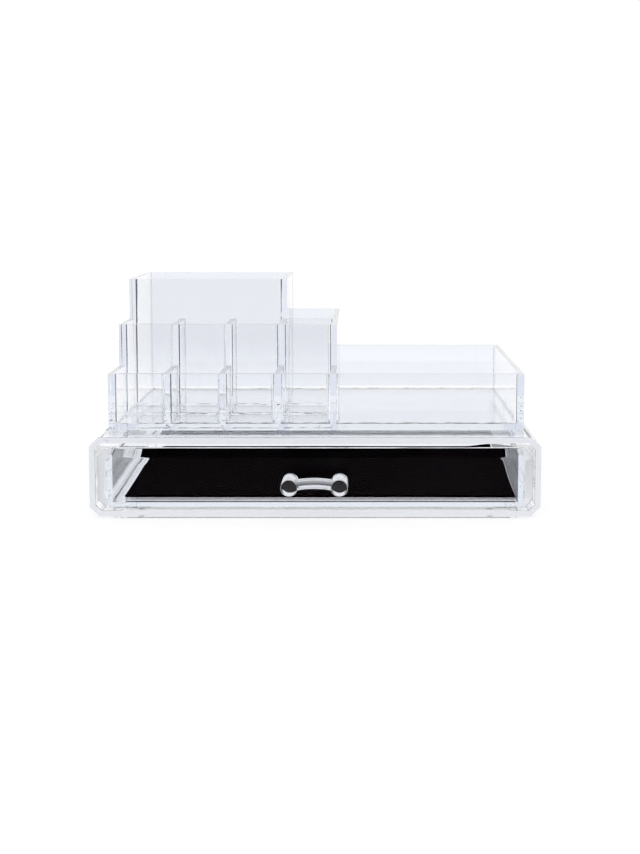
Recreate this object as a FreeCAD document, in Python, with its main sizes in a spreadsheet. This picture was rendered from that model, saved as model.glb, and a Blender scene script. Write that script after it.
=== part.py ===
import FreeCAD, Part
import os
import re
import Sketcher

# Clear vanity organiser: an octagonal case with a pull-out drawer, and on it a loose stepped
# organiser with eight small cells, a side slot, a tall brush bay and an open tray.
# Millimetres. X runs to the right, Y to the back, Z up. The origin is under the middle of the
# whole thing, at the level of its foot ring.

SIZES = {
    # case
    "case_width": 240.0,
    "case_depth": 142.0,
    "case_height": 42.7,
    "case_wall": 3.2,
    "case_corner": 5.0,
    "foot_height": 1.2,
    "foot_ring_side_inset": 11.8,
    "foot_ring_end_inset": 0.8,
    "foot_ring_bar": 4.0,
    "pad_diameter": 3.0,
    "pad_side_inset": 14.6,
    "pad_end_inset": 6.0,
    # drawer
    "drawer_side_gap": 0.8,
    "drawer_top_gap": 2.6,
    "drawer_bottom_gap": 0.7,
    "drawer_back_gap": 2.0,
    "skid_gap": 0.3,
    "front_thickness": 5.0,
    "front_corner": 4.5,
    "bevel_width": 4.5,
    "bevel_depth": 2.0,
    "tray_side_margin": 5.8,
    "tray_wall": 2.8,
    "tray_wall_height": 28.5,
    "tray_corner_round": 6.0,
    "tray_floor_thickness": 2.6,
    "tray_floor_lift": 1.4,
    "liner_left_gap": 5.0,
    "liner_right_gap": 0.4,
    "liner_front_gap": 8.0,
    "liner_back_gap": 4.0,
    "liner_thickness": 1.2,
    "liner_corner": 0.8,
    # handle
    "handle_reach": 14.0,
    "handle_drop": 1.4,
    "post_spacing": 26.2,
    "post_diameter": 9.0,
    "post_rim": 0.7,
    "bow_diameter": 5.7,
    "bow_standoff": 10.8,
    "bow_rise": 1.8,
    # organiser
    "wall": 3.2,
    "floor_thickness": 3.2,
    "cell_width": 27.0,
    "cell_depth": 27.4,
    "bay_depth": 54.0,
    "tray_width": 99.2,
    "back_margin": 2.4,
    "first_row_height": 31.1,
    "row_step": 23.6,
    "outer_round": 1.2,
    "rim_round": 0.6,
}

doc = FreeCAD.newDocument("brush_holder_with_drawer")
sheet = doc.addObject("Spreadsheet::Sheet", "Sizes")
for row, (alias, value) in enumerate(SIZES.items(), start=1):
    sheet.set(f"A{row}", alias)
    sheet.set(f"B{row}", str(value))
    sheet.setAlias(f"B{row}", alias)
doc.recompute()


# ---- helpers -------------------------------------------------------------------------------

def formula(text):
    """The text with every size's name pointed at its cell of the sheet."""
    return re.sub(r"[a-z]\w*", lambda word: "Sizes." + word[0] if word[0] in SIZES else word[0], text)


def measure(text):
    """The present value of a formula."""
    return float(sheet.evalExpression(formula(text)))


def new_body(label, x="0", y="0", z="0"):
    """An empty body, put at a place given by three formulas."""
    body = doc.addObject("PartDesign::Body", label)
    body.Label = label
    for axis, text in (("x", x), ("y", y), ("z", z)):
        body.setExpression(f"Placement.Base.{axis}", formula(text))
    return body


def origin_part(body, role):
    """One of the body's own origin planes or axes."""
    return next(part for part in body.Origin.OriginFeatures if part.Role == role)


def new_sketch(body, name, plane, offset="0"):
    """A sketch on an origin plane of its body, moved off it by a formula."""
    sketch = body.newObject("Sketcher::SketchObject", name)
    sketch.AttachmentSupport = [(origin_part(body, plane), "")]
    sketch.MapMode = "FlatFace"
    sketch.setExpression("AttachmentOffset.Base.z", formula(offset))
    return sketch


def tie(sketch, kind, geometry, point, text):
    """Holds a point of the sketch at a formula's distance from the sketch's origin."""
    index = sketch.addConstraint(Sketcher.Constraint(kind, -1, 1, geometry, point, measure(text)))
    sketch.setExpression(f"Constraints[{index}]", formula(text))


def draw_outline(sketch, corners):
    """A closed outline of straight edges through corners, each a pair of formulas."""
    points = [FreeCAD.Vector(measure(across), measure(up), 0) for across, up in corners]
    first = sketch.GeometryCount
    count = len(points)
    for index in range(count):
        sketch.addGeometry(Part.LineSegment(points[index], points[(index + 1) % count]), False)
    for index in range(count):
        following = first + (index + 1) % count
        sketch.addConstraint(Sketcher.Constraint("Coincident", first + index, 2, following, 1))
    for index, (across, up) in enumerate(corners):
        tie(sketch, "DistanceX", first + index, 1, across)
        tie(sketch, "DistanceY", first + index, 1, up)


def draw_circle(sketch, across, up, radius):
    """A circle whose centre and radius are formulas."""
    centre = FreeCAD.Vector(measure(across), measure(up), 0)
    circle = sketch.addGeometry(Part.Circle(centre, FreeCAD.Vector(0, 0, 1), measure(radius)), False)
    tie(sketch, "DistanceX", circle, 3, across)
    tie(sketch, "DistanceY", circle, 3, up)
    index = sketch.addConstraint(Sketcher.Constraint("Radius", circle, measure(radius)))
    sketch.setExpression(f"Constraints[{index}]", formula(radius))


def rectangle(left, right, low, high):
    return [(left, low), (right, low), (right, high), (left, high)]


def octagon(half_width, low, high, corner):
    """A rectangle about the middle with its four corners cut at 45 degrees."""
    flat = f"({half_width}) - ({corner})"
    lower = f"({low}) + ({corner})"
    upper = f"({high}) - ({corner})"
    right = [(flat, low), (half_width, lower), (half_width, upper), (flat, high)]
    left = [(f"-({across})", up) for across, up in reversed(right)]
    return right + left


def pad(body, sketch, length, backwards=False):
    """Thickens a sketch along its normal, or against it."""
    feature = body.newObject("PartDesign::Pad", sketch.Name + "_pad")
    feature.Profile = sketch
    feature.Reversed = backwards
    feature.setExpression("Length", formula(length))
    return feature


def cut_through(body, sketch):
    """Cuts a sketch's shape out of the whole body, both ways."""
    doc.recompute()
    before = body.Shape.Volume
    feature = body.newObject("PartDesign::Pocket", sketch.Name + "_cut")
    feature.Profile = sketch
    feature.Type = "ThroughAll"
    feature.Midplane = True
    doc.recompute()
    if not body.Shape.Volume < before:
        raise ValueError(f"{body.Label}: {sketch.Name} cuts nothing")


def round_edges(body, chosen, radius, name="rounding"):
    """Rounds the body's edges for which chosen(edge) is true."""
    doc.recompute()
    base = body.Tip
    names = [f"Edge{number}" for number, edge in enumerate(base.Shape.Edges, start=1) if chosen(edge)]
    if not names:
        raise ValueError(f"{body.Label}: no edge to round")
    feature = body.newObject("PartDesign::Fillet", name)
    feature.Base = (base, names)
    feature.setExpression("Radius", formula(radius))
    return feature


def near(first, second):
    return abs(first - second) < 1e-4


def spans(edge, direction):
    """True for a straight edge along X, Y or Z."""
    size = edge.BoundBox
    lengths = {"x": size.XLength, "y": size.YLength, "z": size.ZLength}
    return all((length > 0.01) == (axis == direction) for axis, length in lengths.items())


def round_rims(body, direction, heights):
    """Rounds the top rims of a wall that runs along X or Y, at each of its heights."""
    levels = [measure(height) for height in heights]
    round_edges(
        body,
        lambda edge: spans(edge, direction) and any(near(edge.BoundBox.ZMin, level) for level in levels),
        "rim_round",
        "rims",
    )


# ---- places shared by several pieces -------------------------------------------------------

# case: its front rim lies behind the handle by the handle's reach
rim_y = "((handle_reach - case_depth) / 2)"
rear_y = "((handle_reach + case_depth) / 2)"
case_top = "(foot_height + case_height)"
inside_half_width = "(case_width / 2 - case_wall)"
inside_floor = "(foot_height + case_wall)"
inside_top = f"({case_top} - case_wall)"
inside_corner = "(case_corner - case_wall * (2 - sqrt(2)))"
foot_ring_across = "(case_width / 2 - foot_ring_side_inset)"
foot_ring_along = "(case_depth / 2 - foot_ring_end_inset)"

# drawer
front_half_width = f"({inside_half_width} - drawer_side_gap)"
front_low = f"({inside_floor} + drawer_bottom_gap)"
front_high = f"({inside_top} - drawer_top_gap)"
front_back_y = f"({rim_y} + front_thickness)"
tray_half_width = f"({inside_half_width} - tray_side_margin)"
tray_inner_half = f"({tray_half_width} - tray_wall)"
tray_rear_y = f"({rear_y} - case_wall - drawer_back_gap)"
skid_low = f"({inside_floor} + skid_gap)"
tray_high = f"({skid_low} + tray_wall_height)"
tray_floor_low = f"({skid_low} + tray_floor_lift)"
tray_floor_top = f"({tray_floor_low} + tray_floor_thickness)"
handle_height = f"(({front_low} + {front_high}) / 2 - handle_drop)"

# organiser: columns from the left, rows from the front
organizer_width = "(4 * cell_width + tray_width + 6 * wall)"
organizer_depth = "(2 * cell_depth + bay_depth + 4 * wall)"
organizer_left = f"(-{organizer_width} / 2)"
organizer_front = f"({rear_y} - back_margin - {organizer_depth})"
organizer_rear = f"({rear_y} - back_margin)"
floor_top = f"({case_top} + floor_thickness)"
first_top = f"({case_top} + first_row_height)"
second_top = f"({first_top} + row_step)"
bay_top = f"({second_top} + row_step)"
lap_height = f"(({floor_top} + {first_top}) / 2)"
second_row_y = f"({organizer_front} + wall + cell_depth)"
bay_y = f"({second_row_y} + wall + cell_depth)"


def column_wall(number):
    """The left face of the wall after so many columns."""
    return f"({organizer_left} + {number} * (cell_width + wall))"


# ---- case ----------------------------------------------------------------------------------

def make_case_shell():
    """The octagonal sleeve, open at the front for the drawer."""
    body = new_body("case_shell", y=rim_y)
    outside = new_sketch(body, "case_outside", "XZ_Plane")
    draw_outline(outside, octagon("case_width / 2", "foot_height", case_top, "case_corner"))
    pad(body, outside, "case_depth", backwards=True)
    inside = new_sketch(body, "case_inside", "XZ_Plane")
    draw_outline(inside, octagon(inside_half_width, inside_floor, inside_top, inside_corner))
    cut_through(body, inside)
    return body


def make_case_back():
    """The panel bonded inside the rear end of the sleeve."""
    body = new_body("case_back", y=f"{rear_y} - case_wall")
    sketch = new_sketch(body, "case_back_outline", "XZ_Plane")
    draw_outline(sketch, octagon(inside_half_width, inside_floor, inside_top, inside_corner))
    pad(body, sketch, "case_wall", backwards=True)
    return body


def make_foot_ring():
    """The low frame under the case that it stands on."""
    body = new_body("case_foot_ring", y="handle_reach / 2")
    sketch = new_sketch(body, "foot_ring_outline", "XY_Plane")
    across, along = foot_ring_across, foot_ring_along
    draw_outline(sketch, rectangle(f"-{across}", across, f"-{along}", along))
    inner_across, inner_along = f"({across} - foot_ring_bar)", f"({along} - foot_ring_bar)"
    draw_outline(sketch, rectangle(f"-{inner_across}", inner_across, f"-{inner_along}", inner_along))
    pad(body, sketch, "foot_height")
    round_edges(body, lambda edge: spans(edge, "z"), "foot_ring_bar / 4")
    return body


def make_foot_pads():
    """Four small round pads behind the corners of the foot ring."""
    pads = []
    for name, x_side, y_side in (("front_left", -1, -1), ("front_right", 1, -1),
                                 ("back_left", -1, 1), ("back_right", 1, 1)):
        foot = doc.addObject("Part::Cylinder", "pad_" + name)
        foot.setExpression("Radius", formula("pad_diameter / 2"))
        foot.setExpression("Height", formula("foot_height"))
        across = f"{x_side} * ({foot_ring_across} - pad_side_inset)"
        along = f"handle_reach / 2 + {y_side} * ({foot_ring_along} - pad_end_inset)"
        foot.setExpression("Placement.Base.x", formula(across))
        foot.setExpression("Placement.Base.y", formula(along))
        pads.append(foot)
    group = doc.addObject("Part::Compound", "case_foot_pads")
    group.Label = "case_foot_pads"
    group.Links = pads
    return group


# ---- drawer --------------------------------------------------------------------------------

def make_drawer_front():
    """The thick front, bevelled towards the viewer on all its edges."""
    body = new_body("drawer_front", y=rim_y)
    full = new_sketch(body, "front_full", "XZ_Plane", "-bevel_depth")
    draw_outline(full, octagon(front_half_width, front_low, front_high, "front_corner"))
    pad(body, full, "front_thickness - bevel_depth", backwards=True)
    face = new_sketch(body, "front_face", "XZ_Plane")
    draw_outline(face, octagon(
        f"{front_half_width} - bevel_width", f"{front_low} + bevel_width",
        f"{front_high} - bevel_width", "front_corner - bevel_width * (2 - sqrt(2))",
    ))
    bevel = body.newObject("PartDesign::AdditiveLoft", "front_bevel")
    bevel.Profile = full
    bevel.Sections = [face]
    bevel.Ruled = True
    return body


def make_drawer_floor():
    """The floor, held between the sides and clear of the case."""
    body = new_body("drawer_floor", z=tray_floor_low)
    sketch = new_sketch(body, "drawer_floor_outline", "XY_Plane")
    draw_outline(sketch, rectangle(f"-{tray_inner_half}", tray_inner_half, front_back_y, tray_rear_y))
    pad(body, sketch, "tray_floor_thickness")
    return body


def make_drawer_side(label, left_face):
    """A side whose lower edge is the skid that slides on the case's floor."""
    body = new_body(label, x=left_face)
    sketch = new_sketch(body, label + "_outline", "YZ_Plane")
    draw_outline(sketch, rectangle(front_back_y, tray_rear_y, skid_low, tray_high))
    pad(body, sketch, "tray_wall")
    rear, high = measure(tray_rear_y), measure(tray_high)
    round_edges(
        body,
        lambda edge: spans(edge, "x") and near(edge.BoundBox.YMin, rear) and near(edge.BoundBox.ZMin, high),
        "tray_corner_round",
        "rear_corner",
    )
    return body


def make_drawer_back():
    """The back, standing on the floor between the sides."""
    body = new_body("drawer_back", y=f"{tray_rear_y} - tray_wall")
    sketch = new_sketch(body, "drawer_back_outline", "XZ_Plane")
    high = f"({tray_high} - tray_corner_round)"
    draw_outline(sketch, rectangle(f"-{tray_inner_half}", tray_inner_half, tray_floor_top, high))
    pad(body, sketch, "tray_wall", backwards=True)
    round_rims(body, "x", [high])
    return body


def make_drawer_liner():
    """The loose felt pad on the drawer's floor, pushed to the right and to the back."""
    body = new_body("drawer_liner", z=tray_floor_top)
    sketch = new_sketch(body, "drawer_liner_outline", "XY_Plane")
    left_edge = f"(liner_left_gap - {tray_inner_half})"
    right_edge = f"({tray_inner_half} - liner_right_gap)"
    near_edge = f"({front_back_y} + liner_front_gap)"
    far_edge = f"({tray_rear_y} - tray_wall - liner_back_gap)"
    draw_outline(sketch, rectangle(left_edge, right_edge, near_edge, far_edge))
    pad(body, sketch, "liner_thickness")
    round_edges(body, lambda edge: spans(edge, "z"), "liner_corner")
    return body


def make_handle_post(label, x):
    """A round post that stands out of the drawer's front, its front rim softened."""
    body = new_body(label, x=x, y=rim_y, z=handle_height)
    sketch = new_sketch(body, label + "_profile", "XY_Plane")
    draw_outline(sketch, rectangle("0", "post_diameter / 2", "-handle_reach", "0"))
    turned = body.newObject("PartDesign::Revolution", label + "_turned")
    turned.Profile = sketch
    turned.ReferenceAxis = (origin_part(body, "Y_Axis"), [""])
    turned.Angle = 360.0
    reach = measure("handle_reach")
    round_edges(body, lambda edge: near(edge.BoundBox.YMax, -reach) and edge.Closed, "post_rim", "front_rim")
    return body


def make_handle_bow():
    """The arched round bar between the posts, its ends hollowed to fit them."""
    bow_radius = "((post_spacing ^ 2 / 4 + bow_rise ^ 2) / (2 * bow_rise))"
    body = new_body(
        "handle_bow", y=f"{rim_y} - bow_standoff", z=f"{handle_height} + bow_rise - {bow_radius}")
    section = new_sketch(body, "bow_section", "YZ_Plane")
    draw_circle(section, "0", bow_radius, "bow_diameter / 2")
    turned = body.newObject("PartDesign::Revolution", "bow_turned")
    turned.Profile = section
    turned.ReferenceAxis = (origin_part(body, "Y_Axis"), [""])
    turned.Midplane = True
    turned.setExpression("Angle", formula(f"2 * asin(post_spacing / 2 / {bow_radius})"))
    doc.recompute()
    saddles = new_sketch(body, "bow_saddles", "XZ_Plane")
    for side in ("-", ""):
        draw_circle(saddles, f"{side}post_spacing / 2", f"{bow_radius} - bow_rise", "post_diameter / 2")
    cut_through(body, saddles)
    return body


# ---- organiser -----------------------------------------------------------------------------

def notch(body, name, plane, left, low, high):
    """A slot one wall wide for a crossing wall, cut right through this one."""
    sketch = new_sketch(body, name, plane)
    draw_outline(sketch, rectangle(left, f"{left} + wall", low, high))
    cut_through(body, sketch)


def make_organizer_floor():
    body = new_body("organizer_floor", z=case_top)
    sketch = new_sketch(body, "organizer_floor_outline", "XY_Plane")
    draw_outline(sketch, rectangle(organizer_left, f"-{organizer_left}", organizer_front, organizer_rear))
    pad(body, sketch, "floor_thickness")
    round_edges(body, lambda edge: spans(edge, "z"), "outer_round")
    return body


def outer_corners(y_face):
    """Picks the two upright corner edges of a full-width wall on its outer face."""
    outer = measure(f"{organizer_width} / 2")
    face = measure(y_face)

    def chosen(edge):
        size = edge.BoundBox
        return spans(edge, "z") and near(abs(size.XMin), outer) and near(size.YMin, face)

    return chosen


def make_organizer_front_wall():
    body = new_body("organizer_front_wall", y=organizer_front)
    sketch = new_sketch(body, "front_wall_outline", "XZ_Plane")
    draw_outline(sketch, rectangle(organizer_left, f"-{organizer_left}", floor_top, first_top))
    pad(body, sketch, "wall", backwards=True)
    round_edges(body, outer_corners("0"), "outer_round", "outer_corners")
    round_rims(body, "x", [first_top])
    return body


def make_organizer_back_wall():
    """The back, stepping down from the brush bay to the side slot and the tray."""
    body = new_body("organizer_back_wall", y=f"{organizer_rear} - wall")
    sketch = new_sketch(body, "back_wall_outline", "XZ_Plane")
    bay_right, slot_right = f"({column_wall(3)} + wall)", f"({column_wall(4)} + wall)"
    draw_outline(sketch, [
        (organizer_left, floor_top), (f"-{organizer_left}", floor_top), (f"-{organizer_left}", first_top),
        (slot_right, first_top), (slot_right, second_top), (bay_right, second_top),
        (bay_right, bay_top), (organizer_left, bay_top),
    ])
    pad(body, sketch, "wall", backwards=True)
    round_edges(body, outer_corners("wall"), "outer_round", "outer_corners")
    round_rims(body, "x", [first_top, second_top, bay_top])
    return body


def side_wall(label, left_face, steps):
    """A wall from the front wall to the back wall; steps pairs each rise's place with its top."""
    body = new_body(label, x=left_face)
    sketch = new_sketch(body, label + "_outline", "YZ_Plane")
    near_end, far_end = f"({organizer_front} + wall)", f"({organizer_rear} - wall)"
    corners = [(far_end, floor_top), (near_end, floor_top), (near_end, first_top)]
    level = first_top
    for place, top in steps:
        corners += [(place, level), (place, top)]
        level = top
    corners.append((far_end, level))
    draw_outline(sketch, corners)
    pad(body, sketch, "wall")
    return body


def make_organizer_side_left():
    body = side_wall("organizer_side_left", organizer_left, [(second_row_y, second_top), (bay_y, bay_top)])
    round_rims(body, "y", [first_top, second_top, bay_top])
    return body


def make_organizer_side_right():
    body = side_wall("organizer_side_right", f"-{organizer_left} - wall", [])
    round_rims(body, "y", [first_top])
    return body


def make_tray_partition():
    body = side_wall("tray_partition", column_wall(4), [(second_row_y, second_top)])
    round_rims(body, "y", [first_top, second_top])
    return body


def make_column_divider(label, number):
    """A divider of the two small rows, halved from below over the second row's wall."""
    body = new_body(label, x=column_wall(number))
    sketch = new_sketch(body, label + "_outline", "YZ_Plane")
    near_end = f"({organizer_front} + wall)"
    draw_outline(sketch, [
        (bay_y, floor_top), (near_end, floor_top), (near_end, first_top),
        (second_row_y, first_top), (second_row_y, second_top), (bay_y, second_top),
    ])
    pad(body, sketch, "wall")
    notch(body, label + "_lap", "YZ_Plane", second_row_y, floor_top, lap_height)
    round_rims(body, "y", [first_top, second_top])
    return body


def make_bay_side():
    """The third divider, which runs on as the right side of the brush bay."""
    label = "column_divider_right"
    body = side_wall(label, column_wall(3), [(second_row_y, second_top), (bay_y, bay_top)])
    notch(body, label + "_row_lap", "YZ_Plane", second_row_y, floor_top, lap_height)
    notch(body, label + "_bay_lap", "YZ_Plane", bay_y, floor_top, lap_height)
    round_rims(body, "y", [first_top, second_top, bay_top])
    return body


def make_second_row_wall():
    """The wall between the two small rows, slotted from above for the three dividers."""
    body = new_body("second_row_wall", y=second_row_y)
    sketch = new_sketch(body, "second_row_outline", "XZ_Plane")
    draw_outline(sketch, rectangle(f"{organizer_left} + wall", column_wall(4), floor_top, second_top))
    pad(body, sketch, "wall", backwards=True)
    for number in (1, 2, 3):
        notch(body, f"second_row_lap_{number}", "XZ_Plane", column_wall(number), lap_height, second_top)
    round_rims(body, "x", [second_top])
    return body


def make_brush_bay_wall():
    """The front of the brush bay, lower behind the fourth column, slotted for the bay's side."""
    body = new_body("brush_bay_wall", y=bay_y)
    sketch = new_sketch(body, "bay_wall_outline", "XZ_Plane")
    left, right = f"({organizer_left} + wall)", column_wall(4)
    slot_left, slot_right = column_wall(3), f"({column_wall(3)} + wall)"
    draw_outline(sketch, [
        (left, floor_top), (right, floor_top), (right, second_top), (slot_right, second_top),
        (slot_right, lap_height), (slot_left, lap_height), (slot_left, bay_top), (left, bay_top),
    ])
    pad(body, sketch, "wall", backwards=True)
    round_rims(body, "x", [second_top, bay_top])
    return body


# ---- the whole -----------------------------------------------------------------------------

left_post, right_post = "-post_spacing / 2", "post_spacing / 2"
subparts = [
    make_case_shell(),
    make_case_back(),
    make_foot_ring(),
    make_foot_pads(),
    make_drawer_front(),
    make_drawer_floor(),
    make_drawer_side("drawer_side_left", f"-{tray_half_width}"),
    make_drawer_side("drawer_side_right", tray_inner_half),
    make_drawer_back(),
    make_drawer_liner(),
    make_handle_post("handle_post_left", left_post),
    make_handle_post("handle_post_right", right_post),
    make_handle_bow(),
    make_organizer_floor(),
    make_organizer_front_wall(),
    make_organizer_back_wall(),
    make_organizer_side_left(),
    make_organizer_side_right(),
    make_second_row_wall(),
    make_brush_bay_wall(),
    make_column_divider("column_divider_left", 1),
    make_column_divider("column_divider_middle", 2),
    make_bay_side(),
    make_tray_partition(),
]
doc.recompute()

failed = [item.Name for item in doc.Objects if {"Invalid", "Error"} & set(item.State)]
failed += [part.Label for part in subparts if part.Shape.isNull() or not part.Shape.isValid()]
if failed:
    raise RuntimeError("failed: " + ", ".join(failed))

os.makedirs("parts", exist_ok=True)
for part in subparts:
    part.Shape.exportStep(f"parts/{part.Label}.step")
    print(f"{part.Label}: {len(part.Shape.Solids)} solid(s), {part.Shape.Volume:.1f} mm3")
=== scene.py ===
import math
import bmesh
import bpy
from mathutils import Matrix, Vector


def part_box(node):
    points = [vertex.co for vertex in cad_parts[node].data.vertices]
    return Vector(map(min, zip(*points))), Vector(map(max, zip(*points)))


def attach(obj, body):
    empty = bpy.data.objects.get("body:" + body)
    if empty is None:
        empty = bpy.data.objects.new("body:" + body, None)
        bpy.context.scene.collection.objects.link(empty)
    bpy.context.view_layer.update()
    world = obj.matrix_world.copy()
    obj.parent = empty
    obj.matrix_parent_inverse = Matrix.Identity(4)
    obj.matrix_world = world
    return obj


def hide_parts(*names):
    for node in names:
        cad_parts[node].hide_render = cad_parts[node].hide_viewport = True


# Clear vanity organiser on a drawer case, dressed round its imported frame. Metres, +Z up.
# Each unit that is bonded in the real thing is one clear mesh here, so that light passes its
# seams as it does in the bonded plastic.

MM = 0.001
TINY = 0.02 * MM                # places closer than this count as level
SAME_POINT = 1e-7
FACING = 0.9                    # share of a normal that counts as facing one way

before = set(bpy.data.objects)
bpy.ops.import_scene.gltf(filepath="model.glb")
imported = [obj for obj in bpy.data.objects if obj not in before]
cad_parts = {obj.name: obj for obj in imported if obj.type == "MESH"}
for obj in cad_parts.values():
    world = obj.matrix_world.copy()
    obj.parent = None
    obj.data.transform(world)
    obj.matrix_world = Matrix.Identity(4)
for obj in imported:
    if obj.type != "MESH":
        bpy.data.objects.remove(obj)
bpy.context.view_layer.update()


# ---- sizes ---------------------------------------------------------------------------------

BOND_DEPTH = 0.6 * MM           # how far bonded parts reach into each other before they are joined
SEAT_GAP = 0.06 * MM            # air film between the organiser and the case

SLAB_MARGIN = 0.35 * MM         # no cut is made nearer than this to the organiser's edge
RIM_ROUND = 0.5 * MM            # softened rims of the walls that run across
THIN_ROUND = 0.15 * MM          # all other edges of the organiser
RIM_BAND = 1.0 * MM
JOINT_ROUND = 0.7 * MM          # seams between walls and floor
JOINT_STEP = 2.5 * MM
JOINT_SWAY = 0.35 * MM
SWAY_WAVES = ((410.0, 90.0, 0.0), (150.0, -60.0, 1.0), (820.0, 300.0, 0.0))
FILLET_FOOT = 1.4 * MM          # height above the floor where the upright fillets start
INNER_CORNER_ROUND = 2.0 * MM   # upright corners at the front of the cells
INNER_CORNER_STEPS = 5
OUTER_CORNER_ROUND = 0.25 * MM

CASE_CORNER = 5.0 * MM
CASE_EDGE_ROUND = 0.22 * MM
FRONT_RIM_DEPTH = 9.5 * MM      # the case's ceiling is thickest over this depth
RIM_SLOPE_LENGTH = 12.0 * MM
RIM_SLOPE_RISE = 0.29 * MM
FOOT_RING_BAR = 4.0 * MM
FOOT_RING_ROUND = 0.25 * MM
PAD_RADIUS = 1.5 * MM
PAD_RIM = 0.3 * MM

FRONT_CORNER = 4.5 * MM
BEVEL_WIDTH = 4.5 * MM
BEVEL_DEPTH = 2.0 * MM
TOP_POLISH = 0.45 * MM          # taken off the front's top edge
FRONT_EDGE_ROUND = 0.25 * MM
TRAY_EDGE_ROUND = 0.4 * MM
POST_RIM_ROUND = 0.7 * MM
BOW_REACH = 0.9                 # share of the arc between the posts' centres
SIDE_BEVEL_SATIN = 0.7
HANDLE_SATIN = 0.45

LINER_LIFT = 0.05 * MM
LINER_WAVE = 0.12 * MM
LINER_CURL = 1.4 * MM
LINER_BACK_RISE = 0.35 * MM
LINER_CURL_WIDTH = 16.0 * MM
LINER_CURL_DEPTH = 13.0 * MM
LINER_EDGE_ROUND = 0.22 * MM
LINER_STEPS = (96, 54)

# Bubbles in the seams: x, y, z and the size across, in millimetres
ORGANIZER_BUBBLES = (
    (-111.6, -44.4, 53.9, 0.9), (-111.7, -44.4, 49.7, 1.1), (-110.2, -44.6, 45.0, 1.0),
    (-81.6, -44.4, 46.5, 1.6), (-80.4, -44.3, 46.0, 1.0), (-51.3, -44.4, 46.2, 1.0),
    (-21.0, -44.4, 58.0, 1.2), (-20.1, -44.4, 58.1, 0.8), (1.6, -44.4, 46.1, 1.0),
    (8.2, -44.4, 46.1, 0.9), (15.9, -44.4, 45.6, 0.9), (111.5, -44.4, 61.9, 0.9),
    (111.6, -44.4, 57.3, 0.9), (111.5, -44.4, 54.7, 0.8), (111.6, -44.4, 50.4, 1.0),
)
CASE_BUBBLES = ((-110.3, -62.2, 41.9, 1.5), (110.4, -62.2, 41.9, 1.4))
BUBBLE_FLATNESS = 0.7


def low(node):
    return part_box(node)[0]


def high(node):
    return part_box(node)[1]


# ---- mesh helpers --------------------------------------------------------------------------

def block(mesh, corner_low, corner_high):
    """A box between two corners, added to a bmesh."""
    lowest, highest = Vector(corner_low), Vector(corner_high)
    place = Matrix.Translation((lowest + highest) / 2) @ Matrix.Diagonal((*(highest - lowest), 1))
    return bmesh.ops.create_cube(mesh, size=1.0, matrix=place)["verts"]


def finish_piece(mesh, name, body, replaced, material, smooth_angle=None):
    """Turns a bmesh into a piece that rides on its body and stands for CAD nodes."""
    bmesh.ops.recalc_face_normals(mesh, faces=mesh.faces[:])
    if smooth_angle is not None:
        for face in mesh.faces:
            face.smooth = True
        for edge in mesh.edges:
            edge.smooth = len(edge.link_faces) == 2 and edge.calc_face_angle() < smooth_angle
    data = bpy.data.meshes.new(name)
    mesh.to_mesh(data)
    mesh.free()
    piece = bpy.data.objects.new(name, data)
    bpy.context.scene.collection.objects.link(piece)
    data.materials.append(material)
    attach(piece, body)
    if replaced:
        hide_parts(*replaced)
    return piece


def mark(mesh, name, amount):
    """Stores a number from 0 to 1 on every face, for the materials to read."""
    mesh.normal_update()
    layer = mesh.faces.layers.float.new(name)
    for face in mesh.faces:
        face[layer] = amount(face, face.calc_center_median())


def score(mesh, axis, places):
    """Cuts the whole mesh along planes across one axis."""
    normal = Vector([1.0 if index == axis else 0.0 for index in range(3)])
    for place in sorted(set(round(place, 7) for place in places)):
        everything = mesh.verts[:] + mesh.edges[:] + mesh.faces[:]
        bmesh.ops.bisect_plane(
            mesh, geom=everything, dist=SAME_POINT, plane_co=normal * place, plane_no=normal)


def draw_out(mesh, faces, move):
    """Extrudes faces by a move and removes the faces left inside."""
    grown = bmesh.ops.extrude_face_region(mesh, geom=faces)["geom"]
    bmesh.ops.delete(mesh, geom=faces, context="FACES")
    moved = [item for item in grown if isinstance(item, bmesh.types.BMVert)]
    bmesh.ops.translate(mesh, verts=moved, vec=move)
    mesh.normal_update()


def raise_faces(mesh, level, new_level, plan):
    """Extrudes the level faces whose middle lies in the plan up, or down, to a new level."""
    up = 1.0 if new_level > level else -1.0
    picked = [
        face for face in mesh.faces
        if face.normal.z * up > FACING and abs(face.calc_center_median().z - level) < TINY
        and plan(face.calc_center_median())
    ]
    draw_out(mesh, picked, (0, 0, new_level - level))


def clean_flats(mesh):
    """Merges the scored pieces of each flat face."""
    bmesh.ops.remove_doubles(mesh, verts=mesh.verts[:], dist=10 * SAME_POINT)
    bmesh.ops.dissolve_limit(
        mesh, angle_limit=math.radians(0.5), verts=mesh.verts[:], edges=mesh.edges[:],
        use_dissolve_boundaries=False)


def bevel(mesh, edges, width, segments, clamp=True):
    """Rounds edges and returns the vertices that this makes."""
    return bmesh.ops.bevel(
        mesh, geom=edges, offset=width, segments=segments, profile=0.5, affect="EDGES",
        material=-1, clamp_overlap=clamp, offset_type="OFFSET")["verts"]


def sharp_edges(mesh, smallest=30.0):
    return [
        edge for edge in mesh.edges
        if len(edge.link_faces) == 2 and edge.calc_face_angle() > math.radians(smallest)
    ]


def upright(edge):
    first, second = (vert.co for vert in edge.verts)
    return abs(first.x - second.x) < TINY and abs(first.y - second.y) < TINY


def apply_union(base, others):
    """Joins closed meshes into one by boolean union and removes the others."""
    for other in others:
        joiner = base.modifiers.new("join", "BOOLEAN")
        joiner.operation = "UNION"
        joiner.solver = "EXACT"
        joiner.object = other
    bpy.context.view_layer.update()
    evaluated = base.evaluated_get(bpy.context.evaluated_depsgraph_get())
    joined = bpy.data.meshes.new_from_object(evaluated)
    result = bmesh.new()
    result.from_mesh(joined)
    bpy.data.meshes.remove(joined)
    for item in [base, *others]:
        data = item.data
        bpy.data.objects.remove(item)
        bpy.data.meshes.remove(data)
    return result


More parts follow.
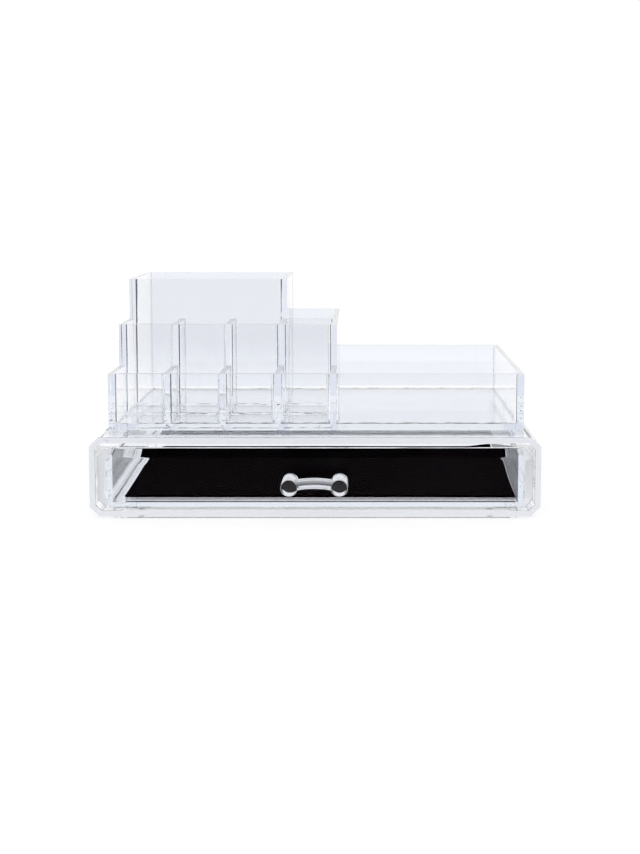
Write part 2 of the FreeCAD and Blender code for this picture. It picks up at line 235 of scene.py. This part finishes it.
def loose_object(mesh, name):
    data = bpy.data.meshes.new(name)
    bmesh.ops.recalc_face_normals(mesh, faces=mesh.faces[:])
    mesh.to_mesh(data)
    mesh.free()
    item = bpy.data.objects.new(name, data)
    bpy.context.scene.collection.objects.link(item)
    return item


# ---- finishes ------------------------------------------------------------------------------

ACRYLIC_IOR = 1.49
CASE_TINT = (0.982, 0.988, 0.999)
DRAWER_TINT = (0.952, 0.962, 0.984)
ORGANIZER_TINT = (0.984, 0.987, 0.992)
# painted shade: the organiser's outer back face is tinted darker and bluer, dimming everything seen through
# it
BACK_PAINTED_SHADE = (0.740, 0.775, 0.870)
RIM_TINT = (0.96, 0.97, 1.0)
CASE_WAVES, DRAWER_WAVES, ORGANIZER_WAVES = 38.0, 42.0, 45.0
WAVE_DEPTH = 0.03 * MM
HAZE_SCALE = 900.0
HAZE_SPAN = (0.35, 0.75)
POLISHED_ROUGHNESS = 0.012
SAWN_ROUGHNESS = 0.14
RIM_CLARITY = 0.4               # sawn rims are satin, not fully clear
FULL_GLINT = 1.0
ORGANIZER_GLINT = 0.9
FRONT_PLATE_GLINT = 0.16        # keeps reflections off the felt behind the front
DEPTH_TINT = (0.0, 0.19, 0.52)
DEPTH_DENSITY = 1.2             # light lost per metre of plastic
ORGANIZER_DENSITY = 1.7


def new_material(name):
    material = bpy.data.materials.new(name)
    material.use_nodes = True
    nodes = material.node_tree.nodes
    return material, nodes, material.node_tree.links, nodes["Principled BSDF"].inputs


def feed(links, socket, item):
    """Links a socket to another one, or sets its own value."""
    if isinstance(item, bpy.types.NodeSocket):
        links.new(item, socket)
    else:
        socket.default_value = item


def combine(nodes, links, operation, *items):
    """One math node, each input a socket or a number."""
    node = nodes.new("ShaderNodeMath")
    node.operation = operation
    for socket, item in zip(node.inputs, items):
        feed(links, socket, item)
    return node.outputs[0]


def noise(nodes, links, scale, detail=2.0, roughness=0.5):
    """Noise on the piece's own coordinates."""
    place = nodes.new("ShaderNodeTexCoord")
    texture = nodes.new("ShaderNodeTexNoise")
    texture.inputs["Scale"].default_value = scale
    texture.inputs["Detail"].default_value = detail
    texture.inputs["Roughness"].default_value = roughness
    links.new(place.outputs["Object"], texture.inputs["Vector"])
    return texture.outputs["Fac"]


def map_value(nodes, links, value, start, end, span=(0.0, 1.0)):
    """A value whose span is mapped to run from start to end."""
    node = nodes.new("ShaderNodeMapRange")
    node.inputs["From Min"].default_value, node.inputs["From Max"].default_value = span
    node.inputs["To Min"].default_value = start
    node.inputs["To Max"].default_value = end
    links.new(value, node.inputs["Value"])
    return node.outputs["Result"]


def ramp(nodes, links, value, start, end, span=(0.0, 1.0)):
    """A colour that runs from start to end over a value's span."""
    node = nodes.new("ShaderNodeValToRGB")
    for element, place, colour in zip(node.color_ramp.elements, span, (start, end)):
        element.position = place
        element.color = (*colour, 1)
    links.new(value, node.inputs["Fac"])
    return node.outputs["Color"]


def face_number(nodes, name):
    """The number that mark() stored on the faces."""
    attribute = nodes.new("ShaderNodeAttribute")
    attribute.attribute_name = name
    return attribute.outputs["Fac"]


def blend(nodes, links, amount, first, second):
    """A mix of two colours, each a socket or a value."""
    node = nodes.new("ShaderNodeMix")
    node.data_type = "RGBA"
    links.new(amount, node.inputs["Factor"])
    feed(links, node.inputs["A"], first)
    feed(links, node.inputs["B"], second)
    return node.outputs["Result"]


def add_bump(nodes, links, inputs, height, strength, distance):
    bump = nodes.new("ShaderNodeBump")
    bump.inputs["Strength"].default_value = strength
    bump.inputs["Distance"].default_value = distance
    links.new(height, bump.inputs["Height"])
    links.new(bump.outputs["Normal"], inputs["Normal"])


def clear_plastic(name, tint, glint, waves, density=DEPTH_DENSITY):
    """Polished clear plastic, faintly wavy, satin where the face number "sawn" says so."""
    material, nodes, links, inputs = new_material(name)
    inputs["Specular Tint"].default_value = (glint, glint, glint, 1.0)
    inputs["IOR"].default_value = ACRYLIC_IOR
    sawn = face_number(nodes, "sawn")
    links.new(map_value(nodes, links, sawn, 1.0, RIM_CLARITY), inputs["Transmission Weight"])
    links.new(blend(nodes, links, sawn, (*tint, 1.0), (*RIM_TINT, 1.0)), inputs["Base Color"])
    add_bump(nodes, links, inputs, noise(nodes, links, waves, detail=1.0), 1.0, WAVE_DEPTH)
    haze = noise(nodes, links, HAZE_SCALE, detail=3.0)
    polish = map_value(nodes, links, haze, POLISHED_ROUGHNESS * 0.4, POLISHED_ROUGHNESS * 1.6, HAZE_SPAN)
    links.new(combine(nodes, links, "MULTIPLY_ADD", sawn, SAWN_ROUGHNESS, polish), inputs["Roughness"])
    depth = nodes.new("ShaderNodeVolumeAbsorption")
    depth.inputs["Color"].default_value = (*DEPTH_TINT, 1.0)
    depth.inputs["Density"].default_value = density
    links.new(depth.outputs["Volume"], nodes["Material Output"].inputs["Volume"])
    return material


def tint_marked(material, name, tint):
    """Tints the faces that a face number names."""
    nodes, links = material.node_tree.nodes, material.node_tree.links
    base = nodes["Principled BSDF"].inputs["Base Color"]
    links.new(blend(nodes, links, face_number(nodes, name), base.links[0].from_socket, (*tint, 1.0)), base)


def dull_marked(material, name, glint):
    """Weaker reflections on the faces that a face number names."""
    nodes, links = material.node_tree.nodes, material.node_tree.links
    amount = map_value(nodes, links, face_number(nodes, name), FULL_GLINT, glint)
    links.new(amount, nodes["Principled BSDF"].inputs["Specular Tint"])


def black_felt():
    """Short matt felt: near black with a purple cast and matted fibres."""
    material, nodes, links, inputs = new_material("liner_felt")
    inputs["Roughness"].default_value = 1.0
    inputs["Specular IOR Level"].default_value = 0.12
    inputs["Sheen Weight"].default_value = 0.03
    inputs["Sheen Roughness"].default_value = 0.6
    fibres = noise(nodes, links, 1400.0, detail=6.0, roughness=0.7)
    links.new(
        ramp(nodes, links, fibres, (0.0090, 0.0030, 0.0050), (0.0220, 0.0100, 0.0140), (0.3, 0.8)),
        inputs["Base Color"])
    add_bump(nodes, links, inputs, fibres, 0.6, 0.15 * MM)
    return material


def soft_rubber():
    """Smoky translucent rubber with a faint mottling."""
    material, nodes, links, inputs = new_material("pad_rubber")
    inputs["Transmission Weight"].default_value = 0.75
    inputs["IOR"].default_value = 1.41
    mottle = noise(nodes, links, 1800.0, detail=4.0)
    links.new(
        ramp(nodes, links, mottle, (0.62, 0.63, 0.68), (0.80, 0.81, 0.86), (0.3, 0.75)),
        inputs["Base Color"])
    links.new(map_value(nodes, links, mottle, 0.25, 0.55), inputs["Roughness"])
    return material


def trapped_air():
    """The inside of a bubble in the plastic: air, its wall slightly clouded."""
    material, nodes, links, inputs = new_material("trapped_air")
    inputs["Transmission Weight"].default_value = 1.0
    inputs["IOR"].default_value = 1 / ACRYLIC_IOR
    cloud = noise(nodes, links, 2500.0)
    links.new(ramp(nodes, links, cloud, (0.25, 0.26, 0.36), (0.60, 0.62, 0.72)), inputs["Base Color"])
    links.new(map_value(nodes, links, cloud, 0.02, 0.12), inputs["Roughness"])
    return material


# ---- organiser -----------------------------------------------------------------------------

def faces_back(edge):
    """True for an inner corner at the front of its cell, whose faces look backwards."""
    return sum(face.normal.y for face in edge.link_faces) > 0.5


def lies_across(edge):
    """True for an edge that runs from left to right."""
    first, second = (vert.co for vert in edge.verts)
    return abs(first.y - second.y) < TINY and abs(first.z - second.z) < TINY


def soften_joints(mesh, floor_level):
    """Fillets where walls meet the floor, their edges as uneven as a bonded seam."""

    def seams(smallest):
        return [
            edge for edge in sharp_edges(mesh, smallest)
            if not edge.is_convex and lies_across(edge) and abs(edge.verts[0].co.z - floor_level) < TINY
        ]

    for seam in seams(30.0):
        pieces = int(seam.calc_length() / JOINT_STEP)
        if pieces > 1:
            bmesh.ops.subdivide_edges(mesh, edges=[seam], cuts=pieces - 1)
    for vert in bevel(mesh, seams(60.0), JOINT_ROUND, 2):
        x, y, z = vert.co
        first, second, third = (
            math.sin(across * x + along * y + start) for across, along, start in SWAY_WAVES)
        sway = JOINT_SWAY * (first * second + 0.5 * third)
        if z > floor_level + JOINT_ROUND * 0.8:
            vert.co.z += sway
        elif z > floor_level + JOINT_ROUND * 0.1:
            vert.co.z += 0.4 * sway


def make_organizer():
    """Walls raised in three tiers from a scored floor slab."""
    floor_low, floor_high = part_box("organizer_floor")
    wall_nodes = [
        "organizer_front_wall", "organizer_back_wall", "organizer_side_left", "organizer_side_right",
        "second_row_wall", "brush_bay_wall", "column_divider_left", "column_divider_middle",
        "column_divider_right", "tray_partition",
    ]
    plans = []
    for node in wall_nodes:
        corner_low, corner_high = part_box(node)
        plans.append((
            max(corner_low.x, floor_low.x), min(corner_high.x, floor_high.x),
            max(corner_low.y, floor_low.y), min(corner_high.y, floor_high.y),
        ))
    mesh = bmesh.new()
    block(mesh, floor_low + Vector((0, 0, SEAT_GAP)), floor_high)
    for axis in (0, 1):
        cuts = [place for plan in plans for place in plan[2 * axis:2 * axis + 2]]
        score(mesh, axis, [
            place for place in cuts
            if floor_low[axis] + SLAB_MARGIN < place < floor_high[axis] - SLAB_MARGIN
        ])

    def in_walls(middle):
        return any(x0 < middle.x < x1 and y0 < middle.y < y1 for x0, x1, y0, y1 in plans)

    first, second = high("organizer_side_right").z, high("tray_partition").z
    bay = high("brush_bay_wall").z
    second_y, bay_y = low("second_row_wall").y, low("brush_bay_wall").y
    cells_right, bay_right = high("tray_partition").x, high("column_divider_right").x
    raise_faces(mesh, floor_high.z, first, in_walls)
    raise_faces(mesh, first, second, lambda middle: middle.y > second_y and middle.x < cells_right)
    raise_faces(mesh, second, bay, lambda middle: middle.y > bay_y and middle.x < bay_right)
    clean_flats(mesh)
    soften_joints(mesh, floor_high.z)
    fillet_foot = floor_high.z + FILLET_FOOT
    score(mesh, 2, [fillet_foot])
    inner = [
        edge for edge in sharp_edges(mesh) if upright(edge) and not edge.is_convex and faces_back(edge)
        and min(vert.co.z for vert in edge.verts) > fillet_foot - TINY
    ]
    bevel(mesh, inner, INNER_CORNER_ROUND, INNER_CORNER_STEPS)
    outer = [
        edge for edge in sharp_edges(mesh) if upright(edge) and edge.is_convex
        and min(abs(edge.verts[0].co.x - floor_low.x), abs(edge.verts[0].co.x - floor_high.x)) < TINY
    ]
    bevel(mesh, outer, OUTER_CORNER_ROUND, 3)
    rims = [edge for edge in sharp_edges(mesh) if edge.is_convex]
    bevel(mesh, [edge for edge in rims if lies_across(edge)], RIM_ROUND, 2)
    bevel(mesh, [edge for edge in sharp_edges(mesh) if edge.is_convex], THIN_ROUND, 1)
    # painted shade: marks the organiser's outer back face for the darker, bluer tint
    mark(mesh, "painted_back_shade", lambda face, middle: float(
        face.normal.y > FACING and middle.z > floor_high.z and abs(middle.y - floor_high.y) < TINY))
    mark(mesh, "sawn", lambda face, middle: float(
        middle.z > first - RIM_BAND and face.normal.z > FACING))
    plastic = clear_plastic(
        "organizer_plastic", ORGANIZER_TINT, ORGANIZER_GLINT, ORGANIZER_WAVES, ORGANIZER_DENSITY)
    tint_marked(plastic, "painted_back_shade", BACK_PAINTED_SHADE)
    finish_piece(
        mesh, "organizer_clear", "organizer", wall_nodes + ["organizer_floor"],
        plastic)


# ---- case ----------------------------------------------------------------------------------

def long_edges(mesh):
    """The edges of a box that run from front to back."""
    return [
        edge for edge in mesh.edges
        if abs(edge.verts[0].co.x - edge.verts[1].co.x) < TINY
        and abs(edge.verts[0].co.z - edge.verts[1].co.z) < TINY
    ]


def front_face(mesh):
    return min(mesh.faces, key=lambda face: face.calc_center_median().y)


def foot_ring_mesh():
    """The low frame under the case, its top sunk into the case's floor."""
    ring_low, ring_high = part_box("case_foot_ring")
    bar = FOOT_RING_BAR
    mesh = bmesh.new()
    block(mesh, ring_low, ring_high + Vector((0, 0, BOND_DEPTH)))
    score(mesh, 0, [ring_low.x + bar, ring_high.x - bar])
    score(mesh, 1, [ring_low.y + bar, ring_high.y - bar])
    hollow = [
        face for face in mesh.faces if abs(face.normal.z) > FACING
        and ring_low.x + bar < face.calc_center_median().x < ring_high.x - bar
        and ring_low.y + bar < face.calc_center_median().y < ring_high.y - bar
    ]
    bmesh.ops.delete(mesh, geom=hollow, context="FACES")
    bmesh.ops.bridge_loops(mesh, edges=[edge for edge in mesh.edges if len(edge.link_faces) == 1])
    lower = [
        edge for edge in sharp_edges(mesh)
        if upright(edge) or all(abs(vert.co.z - ring_low.z) < TINY for vert in edge.verts)
    ]
    bevel(mesh, lower, FOOT_RING_ROUND, 2)
    return mesh


def make_case():
    """An octagonal sleeve hollowed from the front, with the foot ring bonded under its floor."""
    shell_low, shell_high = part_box("case_shell")
    wall = high("case_back").y - low("case_back").y
    mesh = bmesh.new()
    block(mesh, shell_low, shell_high)
    bevel(mesh, long_edges(mesh), CASE_CORNER, 1)
    bmesh.ops.inset_region(
        mesh, faces=[front_face(mesh)], thickness=wall, depth=0.0, use_even_offset=True)
    front_faces = [face for face in mesh.faces if face.normal.y < -FACING]
    mouth = max(front_faces, key=lambda face: face.calc_area())
    draw_out(mesh, [mouth], (0, high("case_back").y - shell_low.y - wall, 0))
    ceiling = shell_high.z - wall
    slope_start = shell_low.y + FRONT_RIM_DEPTH
    score(mesh, 1, [slope_start, slope_start + RIM_SLOPE_LENGTH])
    for vert in mesh.verts:
        if abs(vert.co.z - ceiling) < TINY and vert.co.y > slope_start + TINY:
            vert.co.z += RIM_SLOPE_RISE
    bevel(mesh, sharp_edges(mesh, 20.0), CASE_EDGE_ROUND, 2)
    joined = apply_union(loose_object(mesh, "sleeve_part"), [loose_object(foot_ring_mesh(), "ring_part")])
    mark(joined, "sawn", lambda face, middle: float(
        face.normal.y < -FACING and middle.y < shell_low.y + TINY and middle.z > shell_low.z + TINY))
    finish_piece(
        joined, "case_clear", "case", ["case_shell", "case_back", "case_foot_ring"],
        clear_plastic("case_plastic", CASE_TINT, FULL_GLINT, CASE_WAVES))


def make_pads():
    """Four small round pads stuck under the case, inside its foot ring."""
    pads_low, pads_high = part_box("case_foot_pads")
    radius = PAD_RADIUS
    height = pads_high.z - pads_low.z - SEAT_GAP
    mesh = bmesh.new()
    for x in (pads_low.x + radius, pads_high.x - radius):
        for y in (pads_low.y + radius, pads_high.y - radius):
            place = Matrix.Translation((x, y, pads_low.z + height / 2))
            bmesh.ops.create_cone(
                mesh, cap_ends=True, segments=32, radius1=radius, radius2=radius, depth=height, matrix=place)
    rims = [
        edge for edge in sharp_edges(mesh) if all(vert.co.z < pads_low.z + TINY for vert in edge.verts)
    ]
    bevel(mesh, rims, PAD_RIM, 4)
    finish_piece(
        mesh, "foot_pads", "case", ["case_foot_pads"], soft_rubber(),
        smooth_angle=math.radians(40))


# ---- drawer --------------------------------------------------------------------------------

def drawer_front_mesh():
    """The thick front plate with its wide bevel."""
    corner_low, corner_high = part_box("drawer_front")
    mesh = bmesh.new()
    block(mesh, corner_low + Vector((0, BEVEL_DEPTH, 0)), corner_high - Vector((0, 0, TOP_POLISH)))
    bevel(mesh, long_edges(mesh), FRONT_CORNER, 1)
    bmesh.ops.inset_region(
        mesh, faces=[front_face(mesh)], thickness=BEVEL_WIDTH, depth=BEVEL_DEPTH, use_even_offset=True)
    bevel(mesh, sharp_edges(mesh, 15.0), FRONT_EDGE_ROUND, 2, clamp=False)
    return mesh


def tray_mesh():
    """Floor with two sides that reach down as skids, and a back."""
    floor_low, floor_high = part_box("drawer_floor")
    left_low, left_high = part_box("drawer_side_left")
    right_low, right_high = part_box("drawer_side_right")
    back_low, back_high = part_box("drawer_back")
    mesh = bmesh.new()
    block(
        mesh, (left_low.x, floor_low.y - BOND_DEPTH, floor_low.z),
        (right_high.x, floor_high.y, floor_high.z))
    score(mesh, 0, [left_high.x, right_low.x])
    score(mesh, 1, [back_low.y])

    def sides(middle):
        return not left_high.x < middle.x < right_low.x

    def sides_and_back(middle):
        return sides(middle) or middle.y > back_low.y

    raise_faces(mesh, floor_high.z, back_high.z, sides_and_back)
    raise_faces(mesh, back_high.z, left_high.z, sides)
    raise_faces(mesh, floor_low.z, left_low.z, sides)
    clean_flats(mesh)
    bevel(mesh, sharp_edges(mesh), TRAY_EDGE_ROUND, 2)
    return mesh


def post_mesh(node):
    """A turned post that grows out of the front, its front rim rounded."""
    corner_low, corner_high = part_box(node)
    middle = (corner_low + corner_high) / 2
    radius = (corner_high.x - corner_low.x) / 2
    length = corner_high.y - corner_low.y + BOND_DEPTH
    mesh = bmesh.new()
    centre = Matrix.Translation((middle.x, corner_low.y + length / 2, middle.z))
    place = centre @ Matrix.Rotation(math.pi / 2, 4, "X")
    bmesh.ops.create_cone(
        mesh, cap_ends=True, segments=64, radius1=radius, radius2=radius, depth=length, matrix=place)
    rim = [
        edge for edge in mesh.edges
        if all(abs(vert.co.y - corner_low.y) < TINY for vert in edge.verts)
    ]
    bevel(mesh, rim, POST_RIM_ROUND, 4)
    return mesh


def bow_mesh():
    """The arched bar, spun about a centre far below it, its ends inside the posts."""
    bow_low, bow_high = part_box("handle_bow")
    left = (low("handle_post_left") + high("handle_post_left")) / 2
    right = (low("handle_post_right") + high("handle_post_right")) / 2
    radius = (bow_high.y - bow_low.y) / 2
    top = bow_high.z - radius
    rise = top - left.z
    half_span = (right.x - left.x) / 2
    arc_radius = (half_span ** 2 + rise ** 2) / (2 * rise)
    half_angle = math.asin(half_span / arc_radius) * BOW_REACH
    centre = Vector(((left.x + right.x) / 2, (bow_low.y + bow_high.y) / 2, top - arc_radius))
    start = centre + Matrix.Rotation(-half_angle, 3, "Y") @ Vector((0, 0, arc_radius))
    mesh = bmesh.new()
    facing_along = Matrix.Rotation(-half_angle, 4, "Y") @ Matrix.Rotation(math.pi / 2, 4, "Y")
    ring = bmesh.ops.create_circle(
        mesh, cap_ends=True, segments=48, radius=radius,
        matrix=Matrix.Translation(start) @ facing_along)["verts"]
    faces = list({face for vert in ring for face in vert.link_faces})
    bmesh.ops.spin(
        mesh, geom=faces + ring + mesh.edges[:], cent=centre, axis=(0, 1, 0), dvec=(0, 0, 0),
        angle=2 * half_angle, steps=24, use_merge=False, use_duplicate=False)
    bmesh.ops.remove_doubles(mesh, verts=mesh.verts[:], dist=SAME_POINT)
    return mesh


def make_drawer():
    """Front, tray and handle as one clear piece."""
    parts = {
        "tray_part": tray_mesh(),
        "left_post_part": post_mesh("handle_post_left"),
        "right_post_part": post_mesh("handle_post_right"),
        "bow_part": bow_mesh(),
    }
    front = loose_object(drawer_front_mesh(), "front_part")
    mesh = apply_union(front, [loose_object(part, name) for name, part in parts.items()])
    plate_low, plate_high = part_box("drawer_front")

    def dull(face, middle):
        return float(plate_low.y - TINY < middle.y < plate_high.y + TINY)

    def sawn(face, middle):
        if middle.y < plate_low.y - TINY:
            return HANDLE_SATIN if face.normal.y > -0.97 else 0.0
        at_side = middle.y < plate_high.y and face.normal.y < -0.5 and abs(face.normal.x) > 0.15
        return SIDE_BEVEL_SATIN if at_side else 0.0

    mark(mesh, "dull", dull)
    mark(mesh, "sawn", sawn)
    plastic = clear_plastic("drawer_plastic", DRAWER_TINT, FULL_GLINT, DRAWER_WAVES)
    dull_marked(plastic, "dull", FRONT_PLATE_GLINT)
    finish_piece(
        mesh, "drawer_clear", "drawer",
        ["drawer_front", "drawer_floor", "drawer_side_left", "drawer_side_right", "drawer_back",
         "handle_post_left", "handle_post_right", "handle_bow"],
        plastic, smooth_angle=math.radians(14))


def ease(value):
    """Smooth step of a value held between 0 and 1."""
    value = max(0.0, min(1.0, value))
    return value * value * (3 - 2 * value)


def liner_rise(x, y, corner):
    """How far the felt stands off the floor: slow waves, and one back corner that curls up."""
    wave = (math.sin(61.0 * x + 23.0 * y) + math.sin(97.0 * y - 38.0 * x + 1.3) + 2.0) / 4
    across = ease((x - corner.x + LINER_CURL_WIDTH) / LINER_CURL_WIDTH)
    along = ease((y - corner.y + LINER_CURL_DEPTH) / LINER_CURL_DEPTH)
    return LINER_LIFT + LINER_WAVE * wave + LINER_CURL * across * along + LINER_BACK_RISE * along


def make_liner():
    """The loose felt pad: one sheet with a cut edge all round."""
    corner_low, corner_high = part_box("drawer_liner")
    size = corner_high - corner_low
    middle = (corner_low + corner_high) / 2
    mesh = bmesh.new()
    to_middle = Matrix.Translation((middle.x, middle.y, corner_low.z))
    place = to_middle @ Matrix.Diagonal((size.x, size.y, 1, 1))
    bmesh.ops.create_grid(
        mesh, x_segments=LINER_STEPS[0], y_segments=LINER_STEPS[1], size=0.5, matrix=place)
    for vert in mesh.verts:
        vert.co.z += liner_rise(vert.co.x, vert.co.y, corner_high)
    grown = bmesh.ops.extrude_face_region(mesh, geom=mesh.faces[:])["geom"]
    upper = [item for item in grown if isinstance(item, bmesh.types.BMVert)]
    bmesh.ops.translate(mesh, verts=upper, vec=(0, 0, size.z - LINER_LIFT - LINER_WAVE))
    bmesh.ops.recalc_face_normals(mesh, faces=mesh.faces[:])
    bevel(mesh, sharp_edges(mesh, 50.0), LINER_EDGE_ROUND, 2)
    liner = finish_piece(
        mesh, "drawer_liner_felt", "drawer", ["drawer_liner"], black_felt(),
        smooth_angle=math.radians(50))


# ---- seam bubbles --------------------------------------------------------------------------

def make_bubbles(name, body, bubbles, material):
    """Small flattened bubbles of air inside bonded seams."""
    mesh = bmesh.new()
    flat = Matrix.Diagonal((1.0, BUBBLE_FLATNESS, BUBBLE_FLATNESS, 1.0))
    for x, y, z, size in bubbles:
        place = Matrix.Translation((x * MM, y * MM, z * MM)) @ flat
        bmesh.ops.create_icosphere(mesh, subdivisions=3, radius=size * MM / 2, matrix=place)
    finish_piece(mesh, name, body, [], material, smooth_angle=math.radians(60))


# ---- studio --------------------------------------------------------------------------------

FOCAL_PIXELS = 1125.5
PICTURE = (640, 854)
PRINCIPAL = (360.5, 300.0)
CAMERA_PLACE = (0.0241, -0.6503, 0.1713)
CAMERA_TILT = 5.29
ROOM_DARK = (0.20, 0.20, 0.24)
SIDE_LIGHT = 0.92
BACKDROP_LIGHT = 1.01
WHITE = (1.0, 1.0, 1.0)
# painted light: the floor glows round the object, and its base colour is darker away from it as painted
# shade
FLOOR_PAINTED_GLOW = 0.82
FLOOR_FAR_PAINTED_SHADE, FLOOR_NEAR_PAINTED_LIGHT = (0.13, 0.13, 0.14), (0.25, 0.25, 0.25)
FLOOR_DROP = 0.1 * MM
PAINTED_POOL_SPREAD = 0.38              # how much wider the painted light pool gets for each metre behind
PAINTED_POOL_START = -0.1
TOE = ((0.0, 0.0), (0.018, 0.0024), (0.05, 0.028), (0.12, 0.110))


def make_camera():
    data = bpy.data.cameras.new("studio_camera")
    data.sensor_width = 36.0
    data.lens = FOCAL_PIXELS * data.sensor_width / PICTURE[1]
    data.shift_x = (PICTURE[0] / 2 - PRINCIPAL[0]) / PICTURE[1]
    data.shift_y = (PRINCIPAL[1] - PICTURE[1] / 2) / PICTURE[1]
    data.clip_start, data.clip_end = 0.01, 50.0
    camera = bpy.data.objects.new("studio_camera", data)
    camera.location = CAMERA_PLACE
    camera.rotation_euler = (math.radians(90 - CAMERA_TILT), 0, 0)
    bpy.context.scene.collection.objects.link(camera)
    bpy.context.scene.camera = camera


def soft_step(nodes, links, value, start, end):
    """A smooth 0 to 1 step of a value between two places."""
    step = nodes.new("ShaderNodeMapRange")
    step.interpolation_type = "SMOOTHSTEP"
    step.inputs["From Min"].default_value = start
    step.inputs["From Max"].default_value = end
    links.new(value, step.inputs["Value"])
    return step.outputs["Result"]


def make_world():
    """A white tent: bright behind, above and at the sides, grey towards its open front."""
    world = bpy.data.worlds.new("studio")
    bpy.context.scene.world = world
    world.use_nodes = True
    nodes, links = world.node_tree.nodes, world.node_tree.links
    direction = nodes.new("ShaderNodeTexCoord")
    parts = nodes.new("ShaderNodeSeparateXYZ")
    links.new(direction.outputs["Generated"], parts.inputs[0])
    backdrop = soft_step(nodes, links, parts.outputs["Y"], 0.30, 0.78)
    sides = soft_step(nodes, links, parts.outputs["Y"], -0.80, -0.35)
    above = soft_step(nodes, links, parts.outputs["Z"], 0.01, 0.10)
    overhead = soft_step(nodes, links, parts.outputs["Z"], 0.30, 0.75)
    tent = combine(
        nodes, links, "MULTIPLY", combine(nodes, links, "MULTIPLY", sides, above), SIDE_LIGHT)
    lit = combine(nodes, links, "MAXIMUM", backdrop, overhead)
    lit = combine(nodes, links, "MAXIMUM", lit, tent)
    background = nodes["Background"]
    links.new(ramp(nodes, links, lit, ROOM_DARK, WHITE), background.inputs["Color"])
    background.inputs["Strength"].default_value = BACKDROP_LIGHT


def make_floor():
    """A pale floor that glows evenly round the object as a painted light pool, its glow and colour falling
    off to painted shade towards the sides and the front.
    """
    mesh = bmesh.new()
    bmesh.ops.create_grid(mesh, x_segments=1, y_segments=1, size=6.0)
    data = bpy.data.meshes.new("studio_floor")
    bmesh.ops.translate(mesh, verts=mesh.verts[:], vec=(0, 0, -FLOOR_DROP))
    mesh.to_mesh(data)
    mesh.free()
    floor = bpy.data.objects.new("studio_floor", data)
    bpy.context.scene.collection.objects.link(floor)
    material, nodes, links, inputs = new_material("pale_floor_painted_pool")
    inputs["Roughness"].default_value = 0.9
    inputs["Specular IOR Level"].default_value = 0.1
    inputs["Emission Color"].default_value = (*WHITE, 1)
    place = nodes.new("ShaderNodeTexCoord")
    parts = nodes.new("ShaderNodeSeparateXYZ")
    links.new(place.outputs["Object"], parts.inputs[0])
    sideways = combine(nodes, links, "ABSOLUTE", parts.outputs["X"], 0.0)
    behind = combine(nodes, links, "SUBTRACT", parts.outputs["Y"], PAINTED_POOL_START)
    behind = combine(nodes, links, "MAXIMUM", behind, 0.0)
    widening = combine(nodes, links, "MULTIPLY", behind, PAINTED_POOL_SPREAD)
    spread = combine(nodes, links, "SUBTRACT", sideways, widening)
    width = soft_step(nodes, links, spread, 0.33, 0.25)
    depth = soft_step(nodes, links, parts.outputs["Y"], -0.56, -0.39)
    painted_light_pool = combine(nodes, links, "MULTIPLY", width, depth)
    # painted light pool: the floor glows round the object and not beyond
    links.new(combine(nodes, links, "MULTIPLY", painted_light_pool, FLOOR_PAINTED_GLOW), inputs["Emission Strength"])
    # painted shade: the floor's colour is darker away from the object
    links.new(ramp(nodes, links, painted_light_pool, FLOOR_FAR_PAINTED_SHADE, FLOOR_NEAR_PAINTED_LIGHT), inputs["Base Color"])
    data.materials.append(material)


def set_up_picture():
    scene = bpy.context.scene
    scene.view_settings.view_transform = "Standard"
    scene.view_settings.use_curve_mapping = True
    mapping = scene.view_settings.curve_mapping
    tones = mapping.curves[3]
    tones.points[0].location = TOE[0]
    for place in TOE[1:]:
        tones.points.new(*place)
    mapping.update()
    scene.cycles.max_bounces = 40
    scene.cycles.transmission_bounces = 40
    scene.cycles.glossy_bounces = 16
    scene.cycles.diffuse_bounces = 6
    scene.cycles.use_denoising = True


make_camera()
make_world()
make_floor()
set_up_picture()
make_organizer()
make_case()
make_drawer()
make_liner()
make_pads()
air = trapped_air()
make_bubbles("organizer_seam_bubbles", "organizer", ORGANIZER_BUBBLES, air)
make_bubbles("case_seam_bubbles", "case", CASE_BUBBLES, air)

bpy.context.view_layer.update()
